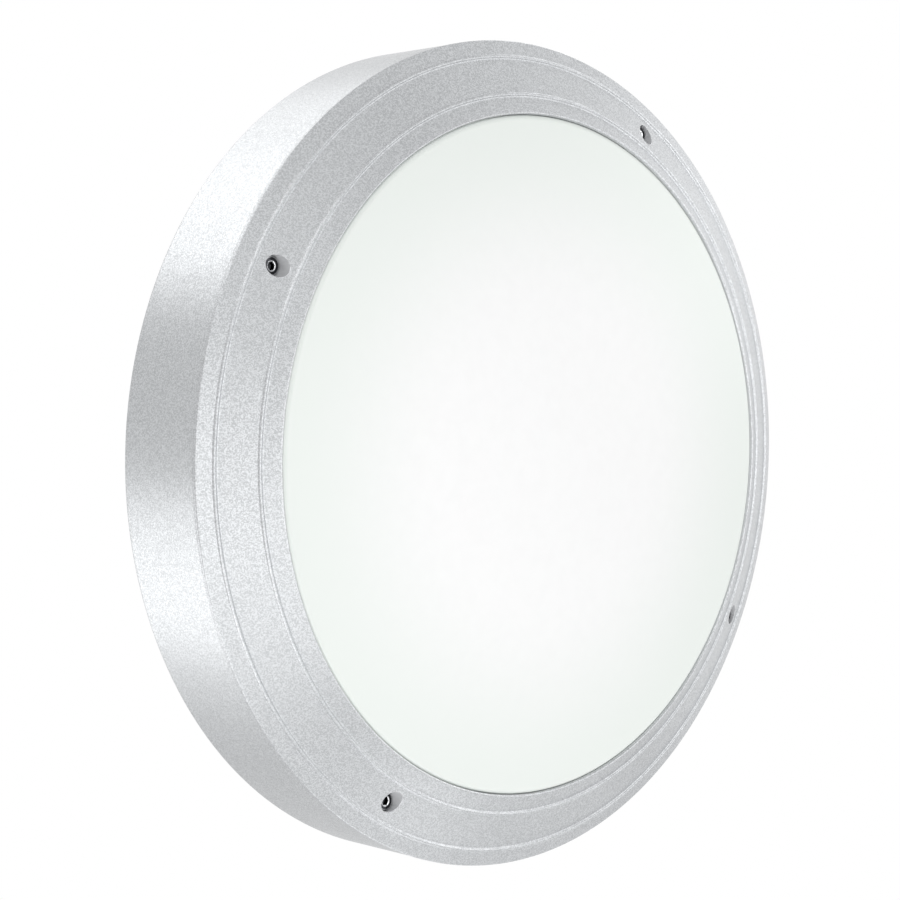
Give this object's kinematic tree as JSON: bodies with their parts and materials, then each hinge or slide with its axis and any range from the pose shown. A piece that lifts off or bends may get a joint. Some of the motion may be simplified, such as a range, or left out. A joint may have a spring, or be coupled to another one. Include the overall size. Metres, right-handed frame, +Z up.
{
  "type": "outdoor wall light",
  "caption": "Round shallow outdoor wall light: cast drum, stepped cast front ring held by sunk socket screws, and a domed opal glass.",
  "frame": {"origin": "centre of the flat rim that lies on the wall, on the light's axis", "axes": "+Y points into the wall along the light's axis, so the light faces -Y; +Z is up and +X is to the right of someone who looks at the light"},
  "size_m": [0.32, 0.063, 0.32],
  "materials": {
    "cast_silver": "fine-grained metallic silver powder coat on die-cast aluminium",
    "opal_glass": "satin opal glass",
    "stainless": "bright stainless steel",
    "zinc_steel": "bright zinc-plated steel",
    "black_rubber": "matt black rubber",
    "grey_silicone": "matt grey silicone",
    "white_sheet": "matt white painted sheet steel",
    "board_mask": "white solder mask on a metal-core board",
    "lamp_phosphor": "yellow phosphor in white packages",
    "white_plastic": "moulded white plastic",
    "grey_plastic": "moulded pale grey plastic",
    "terminal_brass": "turned brass",
    "brown_insulation": "extruded brown insulation",
    "blue_insulation": "extruded blue insulation",
    "green_insulation": "extruded green insulation",
    "red_insulation": "extruded red insulation",
    "black_insulation": "extruded black insulation"
  },
  "bodies": {
    "root": {"housing": "cast_silver", "wall_seal": "black_rubber", "cable_grommet": "black_rubber", "fixing_washers": "black_rubber", "rim_gasket": "grey_silicone", "front_ring": "cast_silver", "ring_screws": "stainless", "screw_seals": "black_rubber", "glass": "opal_glass", "glass_gasket": "grey_silicone", "glass_clip_1": "zinc_steel", "glass_clip_2": "zinc_steel", "glass_clip_3": "zinc_steel", "glass_clip_4": "zinc_steel", "glass_clip_5": "zinc_steel", "glass_clip_6": "zinc_steel", "clip_screws": "zinc_steel", "gear_tray": "white_sheet", "tray_bush": "white_plastic", "tray_screws": "zinc_steel", "lamp_board": "board_mask", "lamps": "lamp_phosphor", "board_screws": "zinc_steel", "board_connector": "white_plastic", "driver_case": "grey_plastic", "driver_lid": "white_plastic", "driver_screws": "zinc_steel", "terminal_block": "white_plastic", "terminal_tubes": "terminal_brass", "terminal_screws": "zinc_steel", "terminal_fixing_screws": "zinc_steel", "cord_clamp": "white_plastic", "cord_clamp_screws": "zinc_steel", "earth_screw": "terminal_brass", "earth_washer": "zinc_steel", "earth_tag": "terminal_brass", "live_lead": "brown_insulation", "neutral_lead": "blue_insulation", "earth_lead": "green_insulation", "lamp_lead_positive": "red_insulation", "lamp_lead_negative": "black_insulation"}
  },
  "joints": []
}
